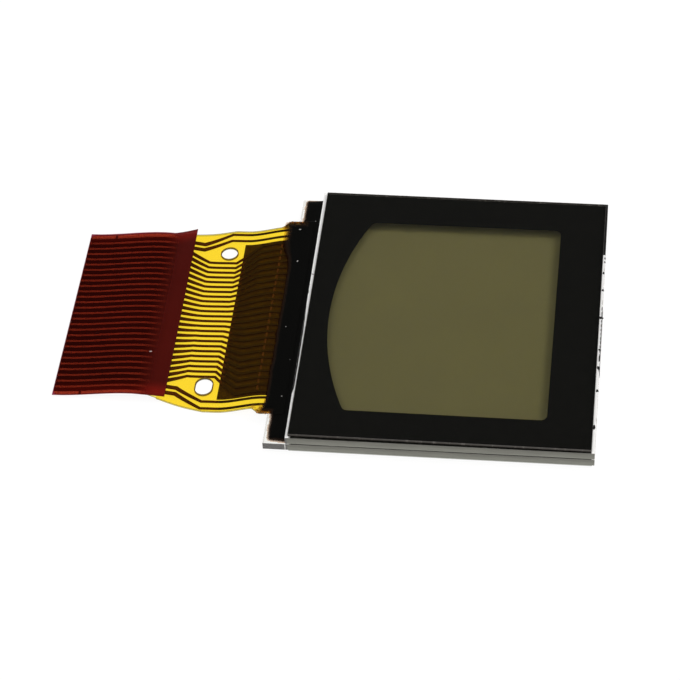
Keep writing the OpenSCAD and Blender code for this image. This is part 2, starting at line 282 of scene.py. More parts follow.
def clear_face(tree, ior, tint, roughness):
    """A see-through face that mirrors only on its outer side."""
    inside = add(tree, "NewGeometry", out="Backfacing")
    gloss = add(tree, "Mix", {0: inside, 2: add(tree, "Fresnel", {"IOR": ior}), 3: 0.0})
    clear = add(tree, "BsdfTransparent", {"Color": tint})
    shine = add(tree, "BsdfGlossy", {"Color": "#ffffff", "Roughness": roughness})
    return add(tree, "MixShader", {0: gloss, 1: clear, 2: shine})


def see_through(tree, tint, share, shader):
    """A tinted clear face that shows share of a solid shader."""
    clear = add(tree, "BsdfTransparent", {"Color": tint})
    return add(tree, "MixShader", {0: share, 1: clear, 2: shader})


def in_mm(tree, stretch=(1, 1, 1)):
    """The place on the part in millimetres, so that a pattern's Scale is its count in one."""
    where = add(tree, "TexCoord", out="Object")
    return add(tree, "Mapping", {"Vector": where, "Scale": [k / MM for k in stretch]})


glass_low, glass_high = span("front_glass")
rear_low, rear_high = span("rear_glass")

# Soda-lime glass: polished float faces of IOR 1.52. Its cut sides are partly painted white,
# a painted reflection of the bright room, save the front ones, which are satin grey with
# wheel marks along them and a painted white highlight on the rear plate just below the front
# plate's left corner. Beside the film the bare glass has a band painted white for the light
# of the card and the room that shows through it, smeared with black sealing resin at the
# left and covered by the mask's black adhesive at the back of the right.
soda_lime, tree = new_material("soda-lime glass")
axes = add(tree, "SeparateXYZ", {"Vector": in_mm(tree)}).node.outputs
geometry = add(tree, "NewGeometry").node.outputs
outward = add(tree, "Math", {0: geometry["Backfacing"], 1: -2.0, 2: 1.0}, operation="MULTIPLY_ADD")
facing = add(tree, "SeparateXYZ", {"Vector": geometry["True Normal"]}, out="Y")
facing = add(tree, "Math", {0: facing, 1: outward}, operation="MULTIPLY")
in_front = add(tree, "MapRange", {
    "Value": facing, "From Min": FRONT_FACING[0], "From Max": FRONT_FACING[1],
})

front_fade = add(tree, "MapRange", {
    "Value": axes["Z"], "From Min": glass_high.z - 0.02, "From Max": glass_low.z + 0.05,
    "To Min": 0.0, "To Max": 0.9,
})
rear_fade = add(tree, "MapRange", {
    "Value": axes["Z"], "From Min": rear_high.z, "From Max": rear_low.z + 0.12,
    "To Min": 0.1, "To Max": 0.95,
})
on_rear = add(tree, "Math", {0: axes["Z"], 1: (rear_high.z + glass_low.z) / 2},
              operation="LESS_THAN")
fade = add(tree, "Mix", {0: on_rear, 2: front_fade, 3: rear_fade})
marks = add(tree, "TexNoise", {
    "Vector": in_mm(tree, (0.5, 0.5, 7.0)), "Scale": 1.0, "Detail": 5.0, "Roughness": 0.6,
})
marks = add(tree, "MapRange", {"Value": marks, "From Min": 0.3, "From Max": 0.7})
marks = add(tree, "Math", {0: marks, 1: 0.5}, operation="SUBTRACT")
fade = add(tree, "Math", {0: marks, 1: 0.5, 2: fade}, operation="MULTIPLY_ADD")
olive_edge = add(tree, "Mix", {0: fade, 6: "#66655c", 7: "#85857b"}, 2, data_type="RGBA")
dull = add(tree, "TexNoise", {
    "Vector": in_mm(tree, (1, 1, 2)), "Scale": 6.0, "Detail": 4.0, "Roughness": 0.7,
})
dull = add(tree, "MapRange", {"Value": dull, "From Min": 0.35, "From Max": 0.65})
dull_edge = add(tree, "Mix", {0: dull, 6: "#4d4c4b", 7: "#706e6c"}, 2, data_type="RGBA")
on_ledge = add(tree, "Math", {0: axes["X"], 1: glass_low.x + LEDGE_DULL}, operation="LESS_THAN")
front_edge = add(tree, "Mix", {0: on_ledge, 6: olive_edge, 7: dull_edge}, 2, data_type="RGBA")
# Painted highlight: a pale streak on the rear plate's front edge just below the front plate's left
# corner, broken up by noise.
corner_highlight = add(tree, "Math", {0: axes["X"], 1: glass_low.x + HIGHLIGHT_X, 2: HIGHLIGHT_HALF},
           operation="COMPARE")
corner_highlight = add(tree, "Math", {0: corner_highlight, 1: on_rear}, operation="MULTIPLY")
highlight_break = add(tree, "MapRange", {"Value": dull, "From Min": 0.1, "From Max": 0.5})
corner_highlight = add(tree, "Math", {0: corner_highlight, 1: highlight_break}, operation="MULTIPLY")
front_edge = add(tree, "Mix", {0: corner_highlight, 6: front_edge, 7: "#d6d5d1"}, 2, data_type="RGBA")
front_side = add(tree, "BsdfPrincipled", {"Base Color": front_edge, "Roughness": 0.4, "IOR": 1.52})
# Painted reflection: the cut sides other than the front ones are a fifth white diffuse, standing
# in for the bright room that the real edges reflect.
painted_bright_side = add(tree, "BsdfPrincipled", {
    "Base Color": "#f3f1ee", "Roughness": 0.6, "IOR": 1.52, "Specular IOR Level": 0.2,
})
painted_bright_side = see_through(tree, "#fbfaf8", 0.2, painted_bright_side)
sides = add(tree, "MixShader", {0: in_front, 1: painted_bright_side, 2: front_side})

# Painted light: the bare glass beside the film is drawn as an opaque white band, standing in for
# the light of the card and the room that shows through it.
left_band = add(tree, "MapRange", {
    "Value": axes["X"],
    "From Min": glass_low.x + LEFT_LIT_BAND[0], "From Max": glass_low.x + LEFT_LIT_BAND[1],
})
on_plate = add(tree, "Math", {0: axes["X"], 1: glass_low.x - 0.01}, operation="GREATER_THAN")
left_band = add(tree, "Math", {0: left_band, 1: on_plate}, operation="MULTIPLY")
right_band = add(tree, "MapRange", {
    "Value": axes["X"],
    "From Min": glass_high.x - RIGHT_LIT_BAND[0], "From Max": glass_high.x - RIGHT_LIT_BAND[1],
})
bands = add(tree, "Math", {0: left_band, 1: right_band}, operation="MAXIMUM")
ragged = add(tree, "TexNoise", {
    "Vector": in_mm(tree, (1, 0.35, 1)), "Scale": 5.0, "Detail": 4.0, "Roughness": 0.7,
})
ragged = add(tree, "Math", {0: ragged, 1: 0.5}, operation="SUBTRACT")
from_back = add(tree, "MapRange", {
    "Value": axes["Y"], "From Min": SMEAR_BACK[0], "From Max": SMEAR_BACK[1],
}, interpolation_type="SMOOTHSTEP")
from_front = add(tree, "MapRange", {
    "Value": axes["Y"], "From Min": SMEAR_FRONT[0], "From Max": SMEAR_FRONT[1],
}, interpolation_type="SMOOTHSTEP")
smear = add(tree, "Math", {0: from_back, 1: from_front}, operation="MULTIPLY")
smear = add(tree, "Math", {0: smear, 1: SMEAR_WIDE, 2: glass_low.x}, operation="MULTIPLY_ADD")
smear = add(tree, "Math", {0: ragged, 1: 0.05, 2: smear}, operation="MULTIPLY_ADD")
smear = add(tree, "Math", {0: axes["X"], 1: smear}, operation="SUBTRACT")
smear = add(tree, "MapRange", {"Value": smear, "From Min": 0.02, "From Max": -0.01})
covered_from = add(tree, "Math", {0: ragged, 1: 1.2, 2: COVERED_Y}, operation="MULTIPLY_ADD")
covered = add(tree, "Math", {0: axes["Y"], 1: covered_from}, operation="GREATER_THAN")
at_right = add(tree, "MapRange", {
    "Value": axes["X"],
    "From Min": glass_high.x - COVERED_X[0], "From Max": glass_high.x - COVERED_X[1],
})
covered = add(tree, "Math", {0: covered, 1: at_right}, operation="MULTIPLY")
black = add(tree, "Math", {0: smear, 1: covered}, operation="MAXIMUM")
# The band's painted white, with the black resin smear and the black adhesive mixed in.
lit_band_and_smear = add(tree, "Mix", {0: black, 6: "#fbfaf8", 7: "#12110f"}, 2, data_type="RGBA")
lit_band_and_smear = add(tree, "BsdfPrincipled", {
    "Base Color": lit_band_and_smear, "Roughness": 0.5, "IOR": 1.52, "Specular IOR Level": 0.2,
})
face = add(tree, "MixShader", {0: bands, 1: clear_face(tree, 1.52, "#fdfdfb", 0.03), 2: lit_band_and_smear})

on_front = add(tree, "Math", {0: axes["Z"], 1: glass_low.z}, operation="GREATER_THAN")
black_side = add(tree, "Math", {0: covered, 1: on_front}, operation="MULTIPLY")
adhesive = add(tree, "BsdfPrincipled", {
    "Base Color": "#151413", "Roughness": 0.5, "Specular IOR Level": 0.2,
})
sides = add(tree, "MixShader", {0: black_side, 1: sides, 2: adhesive})
glass = add(tree, "MixShader", {0: flatness(tree), 1: sides, 2: face})
add(tree, "OutputMaterial", {"Surface": glass})

plate = cut_plate(
    "rear_plate", (rear_low.x, rear_low.y, rear_low.z + HAIR),
    (rear_high.x, rear_high.y, rear_high.z - HAIR),
    worst=(0.05, 0.1, 0.08, 0.03), density=(0.3, 0.8, 0.5, 0.3),
)
piece("rear_plate", plate, soda_lime, ["rear_glass"])
plate = cut_plate(
    "front_plate", (glass_low.x, glass_low.y, glass_low.z + HAIR),
    (glass_high.x, glass_high.y, glass_high.z - HAIR),
    worst=(0.04, 0.07, 0.06, 0.06), density=(0.3, 1.2, 0.5, 0.5),
)
piece("front_plate", plate, soda_lime, ["front_glass"])

# ---------------------------------------------------------------- seal and liquid crystal
# A printed epoxy line holds the plates apart and shuts in the liquid crystal, and a bead of
# dark resin closes the filling port. With no voltage on it the liquid looks olive.
BEAD_SHARE = 0.3
SPREAD = 0.5


def dress(node_name, material):
    """Gives a carried-over node its material."""
    shown = nodes[node_name]
    shown.data.materials.clear()
    shown.data.materials.append(material)


# Filled epoxy: screen printed and matt. The grain from its spacer fibres is finer than can
# be seen, so it is drawn coarser.
epoxy, tree = new_material("grey epoxy")
fibres = add(tree, "TexNoise", {"Vector": in_mm(tree), "Scale": 6.0, "Detail": 3.0})
tone = add(tree, "Mix", {0: fibres, 6: "#2e2d27", 7: "#46453d"}, 2, data_type="RGBA")
matt = add(tree, "BsdfPrincipled", {"Base Color": tone, "Roughness": 0.6, "IOR": 1.55})
add(tree, "OutputMaterial", {"Surface": matt})
dress("seal_ring", epoxy)

# Acrylic port resin: nearly black amber, satin, cured in a bead. Only a share of the bead
# stands past the glass.
port_resin, tree = new_material("amber port resin")
cloud = add(tree, "TexNoise", {"Vector": in_mm(tree), "Scale": 2.5, "Detail": 3.0})
tone = add(tree, "Mix", {0: cloud, 6: "#0e0b09", 7: "#2e2620"}, 2, data_type="RGBA")
satin = add(tree, "BsdfPrincipled", {
    "Base Color": tone, "Roughness": 0.35, "Specular IOR Level": 0.3,
})
add(tree, "OutputMaterial", {"Surface": satin})
bead = nodes["end_seal"].data.copy()
bead.materials.clear()
for vertex in bead.vertices:
    vertex.co /= MM
    if vertex.co.x > glass_high.x:
        vertex.co.x = glass_high.x + BEAD_SHARE * (vertex.co.x - glass_high.x)
piece("port_bead", bead, port_resin, ["end_seal"])

# Liquid crystal over its reflector: olive, and even, because the light that enters the
# cell spreads about half a millimetre inside it before it comes back.
olive_liquid, tree = new_material("olive liquid crystal")
cloud = add(tree, "TexNoise", {"Vector": in_mm(tree), "Scale": 0.22, "Detail": 2.0})
cloud = add(tree, "MapRange", {"Value": cloud, "From Min": 0.35, "From Max": 0.65})
olive = add(tree, "Mix", {0: cloud, 6: "#797352", 7: "#7b7552"}, 2, data_type="RGBA")
liquid = add(tree, "BsdfPrincipled", {
    "Base Color": olive, "Roughness": 0.7, "Specular IOR Level": 0.0,
    "Subsurface Weight": 1.0, "Subsurface Radius": (1.0, 1.0, 1.0),
    "Subsurface Scale": SPREAD * MM,
})
add(tree, "OutputMaterial", {"Surface": liquid})
dress("liquid_crystal", olive_liquid)

# ---------------------------------------------------------------- rear films
# The rear polariser and, behind it, a sheet with a coat of aluminium that sends the light
# back. Both are laminated to the rear glass.

# Iodine-dyed acetate film: grey-green, satin, with fine draw lines.
grey_film, tree = new_material("rear polarising film")
draw = add(tree, "TexNoise", {
    "Vector": in_mm(tree, (0.3, 6.0, 6.0)), "Scale": 1.0, "Detail": 3.0,
})
tone = add(tree, "Mix", {0: draw, 6: "#45473c", 7: "#53554a"}, 2, data_type="RGBA")
satin = add(tree, "BsdfPrincipled", {"Base Color": tone, "Roughness": 0.3, "IOR": 1.49})
add(tree, "OutputMaterial", {"Surface": satin})
dress("rear_polariser", grey_film)

# Vacuum-aluminised polyester: silver, soft mirror with a brushed scatter.
silvered, tree = new_material("aluminised polyester")
scatter = add(tree, "TexNoise", {
    "Vector": in_mm(tree, (0.4, 5.0, 1.0)), "Scale": 3.0, "Detail": 5.0,
})
tone = add(tree, "Mix", {0: scatter, 6: "#adaea8", 7: "#c9cac4"}, 2, data_type="RGBA")
rough = add(tree, "MapRange", {"Value": scatter, "To Min": 0.28, "To Max": 0.5})
mirror = add(tree, "BsdfPrincipled", {"Base Color": tone, "Roughness": rough, "Metallic": 1.0})
add(tree, "OutputMaterial", {"Surface": mirror})
dress("reflector", silvered)

# ---------------------------------------------------------------- front film and mask
# The front polariser is a clear glossy film with a black mask printed on its underside. It
# was knife cut, a little short and askew, so bare glass shows at its right edge, and its cut
# edge is a thin grey line with a few burrs.
FILM_TURN = radians(-0.2)
RIGHT_TRIM = 0.065
MASK_EDGE = 0.3

# Screen-printed black ink under the film: deep neutral black, seen through the film.
ink, tree = new_material("black mask ink")
cloud = add(tree, "TexNoise", {"Vector": in_mm(tree), "Scale": 1.5, "Detail": 4.0})
tone = add(tree, "Mix", {0: cloud, 6: "#0c0c0b", 7: "#121211"}, 2, data_type="RGBA")
matt = add(tree, "BsdfPrincipled", {
    "Base Color": tone, "Roughness": 0.6, "Specular IOR Level": 0.0,
})
add(tree, "OutputMaterial", {"Surface": matt})

# Acetate film of IOR 1.49: polished face, satin knife-cut edge with a whitish burr.
clear_film, tree = new_material("clear polarising film")
burr = add(tree, "TexNoise", {
    "Vector": in_mm(tree, (1, 1, 0.3)), "Scale": 4.0, "Detail": 4.0, "Roughness": 0.7,
})
burr = add(tree, "MapRange", {"Value": burr, "From Min": 0.55, "From Max": 0.75})
tone = add(tree, "Mix", {0: burr, 6: "#433f3a", 7: "#86817a"}, 2, data_type="RGBA")
edge = add(tree, "BsdfPrincipled", {"Base Color": tone, "Roughness": 0.35, "IOR": 1.49})
face = clear_face(tree, 1.49, "#fbfbf7", 0.05)
film = add(tree, "MixShader", {0: flatness(tree), 1: edge, 2: face})
add(tree, "OutputMaterial", {"Surface": film})

film_low, film_high = span("front_polariser")
mask_high = span("black_mask")[1]
film_wide, film_deep = film_high.x - film_low.x - RIGHT_TRIM, film_high.y - film_low.y
middle = (film_low.x + film_wide / 2, (film_low.y + film_high.y) / 2)
half_x = (film_wide * cos(FILM_TURN) - film_deep * abs(sin(FILM_TURN))) / 2
half_y = (film_deep * cos(FILM_TURN) - film_wide * abs(sin(FILM_TURN))) / 2
plate = cut_plate(
    "front_film", (middle[0] - half_x, middle[1] - half_y, mask_high.z + HAIR),
    (middle[0] + half_x, middle[1] + half_y, film_high.z),
    worst=(0.03, 0.04, 0.02, 0.05), density=(0.4, 0.6, 0.2, 0.8), turn=FILM_TURN, middle=middle,
)
piece("front_film", plate, clear_film, ["front_polariser"])

mask_mesh = nodes["black_mask"].data.copy()
mask_mesh.materials.clear()
for vertex in mask_mesh.vertices:
    vertex.co /= MM
    if vertex.co.x > mask_high.x - MASK_EDGE:
        vertex.co.x -= RIGHT_TRIM
piece("mask_print", mask_mesh, ink, ["black_mask"])

# ---------------------------------------------------------------- flexible circuit
# Polyimide film with etched copper conductors on its underside and a thinner cover film
# below them, punched with a locating hole and, nearer the front, a slot. Light from the
# table makes it glow amber.
HOLE_X, HOLE_Y, HOLE_R, SLOT_HALF, BURR = -15.0, 6.0, 0.525, 0.175, 0.07
TAB_X = rear_low.x - 1.0
BLOOM_SHARE, BROWN_SHARE = 0.0034, 0.75
FILM_SHADE_FADE = 0.3

flex_low, flex_high = span("flex_base")


def hair_back(node_name):
    """Draws a thin sheet's faces a hair inside its solid, so that no two sheets share one."""
    shrink = nodes[node_name].modifiers.new("hair", "DISPLACE")
    shrink.strength = -HAIR * MM
    shrink.mid_level = 0.0


def amber_film(name, tint, tone):
    """Cast polyimide: see-through amber of IOR 1.7 with a soft gloss and a faint rosy bloom,
    browner where a die has cut it, round the punched holes and at its tab's corners."""
    material, tree = new_material(name)
    axes = add(tree, "SeparateXYZ", {"Vector": in_mm(tree)}).node.outputs
    off_middle = add(tree, "Math", {0: axes["Y"]}, operation="ABSOLUTE")
    is_slot = add(tree, "Math", {0: axes["Y"], 1: 0.0}, operation="LESS_THAN")
    slide = add(tree, "Math", {0: is_slot, 1: SLOT_HALF}, operation="MULTIPLY")
    dy = add(tree, "Math", {0: off_middle, 1: HOLE_Y}, operation="SUBTRACT")
    dy = add(tree, "Math", {0: dy}, operation="ABSOLUTE")
    dy = add(tree, "Math", {0: dy, 1: slide}, operation="SUBTRACT")
    dy = add(tree, "Math", {0: dy, 1: 0.0}, operation="MAXIMUM")
    dx = add(tree, "Math", {0: axes["X"], 1: HOLE_X}, operation="SUBTRACT")
    away = add(tree, "CombineXYZ", {"X": dx, "Y": dy})
    away = add(tree, "VectorMath", {0: away}, "Value", operation="LENGTH")
    ring = add(tree, "MapRange", {
        "Value": away, "From Min": HOLE_R + BURR, "From Max": HOLE_R + BURR * 0.5,
    })
    cut = add(tree, "Math", {0: 1.0, 1: flatness(tree, 0.6, 0.8)}, operation="SUBTRACT")
    brown = add(tree, "Math", {0: ring, 1: cut}, operation="MAXIMUM")
    by_ledge = add(tree, "MapRange", {
        "Value": axes["X"], "From Min": TAB_X - 0.35, "From Max": TAB_X,
    }, interpolation_type="SMOOTHSTEP")
    by_side = add(tree, "MapRange", {
        "Value": off_middle, "From Min": flex_high.y - 0.75, "From Max": flex_high.y - 0.3,
    }, interpolation_type="SMOOTHSTEP")
    corner = add(tree, "Math", {0: by_ledge, 1: by_side}, operation="MULTIPLY")
    mottle = add(tree, "TexNoise", {
        "Vector": in_mm(tree), "Scale": 3.5, "Detail": 4.0, "Roughness": 0.6,
    })
    mottle = add(tree, "MapRange", {"Value": mottle, "From Min": 0.43, "From Max": 0.55})
    corner = add(tree, "Math", {0: corner, 1: mottle}, operation="MULTIPLY")
    brown = add(tree, "Math", {0: brown, 1: corner}, operation="MAXIMUM")

    rough = add(tree, "TexNoise", {"Vector": in_mm(tree), "Scale": 0.8, "Detail": 3.0})
    rough = add(tree, "MapRange", {"Value": rough, "To Min": 0.3, "To Max": 0.5})
    browned = add(tree, "Mix", {0: brown, 6: tone, 7: "#3a1d04"}, 2, data_type="RGBA")
    burnt = add(tree, "BsdfPrincipled", {
        "Base Color": browned, "Roughness": rough, "IOR": 1.7, "Specular IOR Level": 0.2,
    })
    bloom = add(tree, "BsdfPrincipled", {
        "Base Color": "#ffb4b8", "Roughness": 0.5, "IOR": 1.7, "Specular IOR Level": 0.2,
    })
    film = see_through(tree, tint, BLOOM_SHARE, bloom)
    share = add(tree, "Math", {0: brown, 1: BROWN_SHARE}, operation="MULTIPLY")
    film = add(tree, "MixShader", {0: share, 1: film, 2: burnt})
    add(tree, "OutputMaterial", {"Surface": film})
    return material


dress("flex_base", amber_film("amber polyimide", "#fef5ae", "#f2a800"))
dress("flex_coverlay", amber_film("amber cover film", "#fef5ae", "#d99400"))
for name in ("flex_base", "flex_coverlay"):
    hair_back(name)

# Rolled copper with a brown oxide treatment: dull, with darker and redder patches, and
# painted darker still where the dark film backs it, as painted shade for the light that
# cannot come round it there.
shield_low, shield_high = span("dark_film")
copper, tree = new_material("brown-treated copper")
patch = add(tree, "TexNoise", {
    "Vector": in_mm(tree, (0.4, 1, 1)), "Scale": 2.0, "Detail": 4.0,
})
# Painted shade: the copper's colour turns darker over the dark film, where less light reaches it.
film_shade = add(tree, "SeparateXYZ", {"Vector": in_mm(tree)}, out="X")
film_shade = add(tree, "MapRange", {
    "Value": film_shade, "From Min": shield_low.x, "From Max": shield_low.x + FILM_SHADE_FADE,
})
lit_copper = add(tree, "Mix", {0: patch, 6: "#2a1204", 7: "#562809"}, 2, data_type="RGBA")
dark = add(tree, "Mix", {0: patch, 6: "#150b05", 7: "#28180b"}, 2, data_type="RGBA")
tone = add(tree, "Mix", {0: film_shade, 6: lit_copper, 7: dark}, 2, data_type="RGBA")
metal = add(tree, "BsdfPrincipled", {
    "Base Color": tone, "Roughness": 0.6, "Metallic": 0.3, "Specular IOR Level": 0.2,
})
add(tree, "OutputMaterial", {"Surface": metal})
for name in nodes:
    if name.startswith(("conductor_", "position_mark_")):
        dress(name, copper)

# ---------------------------------------------------------------- dark film
# A dark brown film laid under the circuit, with a narrow slit across it. A skin of its
# adhesive bridges the slit, and resin has crept in between the film's end and the ledge.
SLIT_SETBACK, SLIT_HALF, SLIT_END = 0.92, 0.059, 0.3
SKIN_INSET, PROBE = 0.015, 0.02
CREPT_FOOT, CREPT_GAP, CREPT_INSET = 0.58, 0.005, 0.15

# Dark brown polyimide: matt, with faint cross streaks.
brown_film, tree = new_material("dark brown polyimide")
streak = add(tree, "TexNoise", {
    "Vector": in_mm(tree, (0.6, 4, 1)), "Scale": 1.0, "Detail": 4.0,
})
tone = add(tree, "Mix", {0: streak, 6: "#120d08", 7: "#1e160e"}, 2, data_type="RGBA")
matt = add(tree, "BsdfPrincipled", {
    "Base Color": tone, "Roughness": 0.5, "IOR": 1.7, "Specular IOR Level": 0.3,
})
add(tree, "OutputMaterial", {"Surface": matt})
dress("dark_film", brown_film)

# Brown adhesive skin: see-through, so it only dims the light that comes up through the slit.
brown_skin, tree = new_material("brown adhesive skin")
patchy = add(tree, "TexNoise", {"Vector": in_mm(tree), "Scale": 1.2, "Detail": 3.0})
tone = add(tree, "Mix", {0: patchy, 6: "#3c2414", 7: "#5a3620"}, 2, data_type="RGBA")
satin = add(tree, "BsdfPrincipled", {"Base Color": tone, "Roughness": 0.5})
add(tree, "OutputMaterial", {"Surface": see_through(tree, "#8e7686", 0.15, satin)})

slit_x, slit_reach = rear_low.x - SLIT_SETBACK, shield_high.y - SLIT_END
shield_tree = BVHTree.FromPolygons(
    [v.co / MM for v in nodes["dark_film"].data.vertices],
    [tuple(p.vertices) for p in nodes["dark_film"].data.polygons],
)
rings = []
for x in (slit_x - SLIT_HALF, slit_x + SLIT_HALF):
    beside = x + (PROBE if x > slit_x else -PROBE)
    upper = shield_tree.ray_cast(Vector((beside, 0.1, 5)), Vector((0, 0, -1)))[0].z
    under = shield_tree.ray_cast(Vector((beside, 0.1, -5)), Vector((0, 0, 1)))[0].z
    for z in (under + SKIN_INSET, upper - SKIN_INSET):
        rings += [(x, -slit_reach, z), (x, slit_reach, z)]
skin_mesh = bpy.data.meshes.new("slit_skin")
skin_mesh.from_pydata(rings, [], [
    (0, 1, 3, 2), (4, 6, 7, 5), (2, 3, 7, 6), (0, 4, 5, 1), (1, 5, 7, 3), (0, 2, 6, 4),
])
piece("slit_skin", skin_mesh, brown_skin)

# Silicone resin that has crept under the circuit: nearly black, satin.
crept, tree = new_material("crept brown resin")
creep = add(tree, "TexNoise", {"Vector": in_mm(tree), "Scale": 2.0, "Detail": 3.0})
tone = add(tree, "Mix", {0: creep, 6: "#100b07", 7: "#1a120c"}, 2, data_type="RGBA")
satin = add(tree, "BsdfPrincipled", {
    "Base Color": tone, "Roughness": 0.5, "IOR": 1.43, "Specular IOR Level": 0.2,
})
add(tree, "OutputMaterial", {"Surface": satin})
left, right, reach = shield_high.x + HAIR, rear_low.x - HAIR, flex_high.y - CREPT_INSET
corners = [(left, -reach), (right, -reach), (right, reach), (left, reach)]
under_mesh = bpy.data.meshes.new("underfill")
under_mesh.from_pydata(
    [(x, y, z) for z in (CREPT_FOOT, shield_high.z - CREPT_GAP) for x, y in corners], [],
    [(3, 2, 1, 0), (4, 5, 6, 7)] + [(a, (a + 1) % 4, 4 + (a + 1) % 4, 4 + a) for a in range(4)],
)
piece("underfill", under_mesh, crept)

# ---------------------------------------------------------------- bonding film
# A thin film of resin and plated balls between the circuit's end and the ledge. It is
# pressed hot, so that the balls join each conductor to its line on the glass.

# Conductive bonding film: tan resin. Its balls are a few thousandths of a millimetre across,
# and are drawn coarser so that they show.
bonding, tree = new_material("bonding film")
balls = add(tree, "TexVoronoi", {"Vector": in_mm(tree), "Scale": 20.0}, "Distance")
tone = add(tree, "Mix", {0: balls, 6: "#6b4d20", 7: "#3c2a10"}, 2, data_type="RGBA")
matt = add(tree, "BsdfPrincipled", {"Base Color": tone, "Roughness": 0.5, "IOR": 1.55})
add(tree, "OutputMaterial", {"Surface": matt})
dress("bond_adhesive", bonding)

# ---------------------------------------------------------------- red film
# A red protective film over the contacts, laid on a little askew. Its edge nearest the glass
# has come loose, and the back corner has curled up.
PEEL_X, PEEL_NEAR, PEEL_FAR = -18.75, 0.14, 0.65
RED_THICK = 0.05
SIDE_SLIP, EDGE_SLIP, EDGE_SKEW = 0.07, 0.055, 0.004
STEPS_X, STEPS_Y = 60, 40
MARGIN_Y, ENDS_Y = (6.86, 6.96), (6.0, 7.1)

red_from, red_to = span("contact_cover_film")
circuit_tree = BVHTree.FromPolygons(
    [v.co / MM for v in nodes["flex_base"].data.vertices],
    [tuple(p.vertices) for p in nodes["flex_base"].data.polygons],
)


def circuit_top(x):
    """Height of the circuit's upper face along its middle, in millimetres."""
    return circuit_tree.ray_cast(Vector((x, 0.1, 10.0)), Vector((0, 0, -1)))[0].z


def peel(x):
    """0 where the red film begins to come loose and 1 at its free edge."""
    return (x - PEEL_X) / (red_to.x - PEEL_X)


def red_low(x, y):
    """Height of the red film's underside, which stands off the circuit where it is loose."""
    corner = max(0.0, (y + red_to.y) / (2 * red_to.y))
    loose = (PEEL_NEAR + (PEEL_FAR - PEEL_NEAR) * corner ** 1.5) * max(0.0, peel(x)) ** 1.25
    return circuit_top(max(x, flex_low.x + HAIR)) + HAIR * 2 + loose


ys = [
    -red_to.y - SIDE_SLIP + (2 * red_to.y + SIDE_SLIP) * j / STEPS_Y for j in range(STEPS_Y + 1)
]
spots = [
    (red_from.x + (red_to.x + EDGE_SLIP + EDGE_SKEW * y - red_from.x) * i / STEPS_X, y)
    for i in range(STEPS_X + 1) for y in ys
]
verts = [(x, y, red_low(x, y) + RED_THICK) for x, y in spots]
verts += [(x, y, red_low(x, y)) for x, y in spots]
under, row = len(spots), len(ys)
faces = []
for i in range(STEPS_X):
    for j in range(STEPS_Y):
        a, b = i * row + j, (i + 1) * row + j
        faces.append((a, b, b + 1, a + 1))
        faces.append((under + a, under + a + 1, under + b + 1, under + b))
rim = [i * row for i in range(STEPS_X + 1)]
rim += [STEPS_X * row + j for j in range(1, row)]
rim += [i * row + STEPS_Y for i in range(STEPS_X - 1, -1, -1)]
rim += list(range(STEPS_Y - 1, 0, -1))
for k, a in enumerate(rim):
    b = rim[(k + 1) % len(rim)]
    faces.append((b, a, under + a, under + b))
red_mesh = bpy.data.meshes.new("red_cover")
red_mesh.from_pydata(verts, [], faces)
layer = red_mesh.attributes.new("peel", "FLOAT", "POINT")
layer.data.foreach_set("value", [peel(x) for x, y in spots] * 2)
red_mesh.shade_smooth()

# Red polyester film: see-through deep red of IOR 1.64, satin. Over the conductors its tint
# and body are painted darker, as painted shade for the light that comes up through it less
# there, and where it stands off the circuit it hides what is below.
red_film, tree = new_material("red polyester film")
hides = add(tree, "Attribute", out="Fac", attribute_name="peel")
hides = add(tree, "MapRange", {
    "Value": hides, "From Min": -0.4, "From Max": 0.65, "To Min": 0.25, "To Max": 0.93,
}, interpolation_type="SMOOTHSTEP")
off_middle = add(tree, "SeparateXYZ", {"Vector": in_mm(tree)}, out="Y")
off_middle = add(tree, "Math", {0: off_middle}, operation="ABSOLUTE")
# Painted shade: the tint is darker over the conductors than at the film's margins.
lit_margin = add(tree, "MapRange", {
    "Value": off_middle, "From Min": MARGIN_Y[0], "From Max": MARGIN_Y[1],
})
# Painted shade: the body is darker red over the conductors and lighter red past them.
lit_ends = add(tree, "MapRange", {
    "Value": off_middle, "From Min": ENDS_Y[0], "From Max": ENDS_Y[1],
}, interpolation_type="SMOOTHSTEP")
cast = add(tree, "TexNoise", {"Vector": in_mm(tree), "Scale": 0.5, "Detail": 4.0})
deep = add(tree, "Mix", {0: cast, 6: "#440c07", 7: "#4e100a"}, 2, data_type="RGBA")
lit_red = add(tree, "Mix", {0: cast, 6: "#68120b", 7: "#76170e"}, 2, data_type="RGBA")
tone = add(tree, "Mix", {0: lit_ends, 6: deep, 7: lit_red}, 2, data_type="RGBA")
satin = add(tree, "BsdfPrincipled", {
    "Base Color": tone, "Roughness": 0.45, "IOR": 1.64, "Specular IOR Level": 0.02,
})
tint = add(tree, "Mix", {0: lit_margin, 6: "#b06c7c", 7: "#ca8096"}, 2, data_type="RGBA")
add(tree, "OutputMaterial", {"Surface": see_through(tree, tint, hides, satin)})
piece("red_cover", red_mesh, red_film, ["contact_cover_film"])

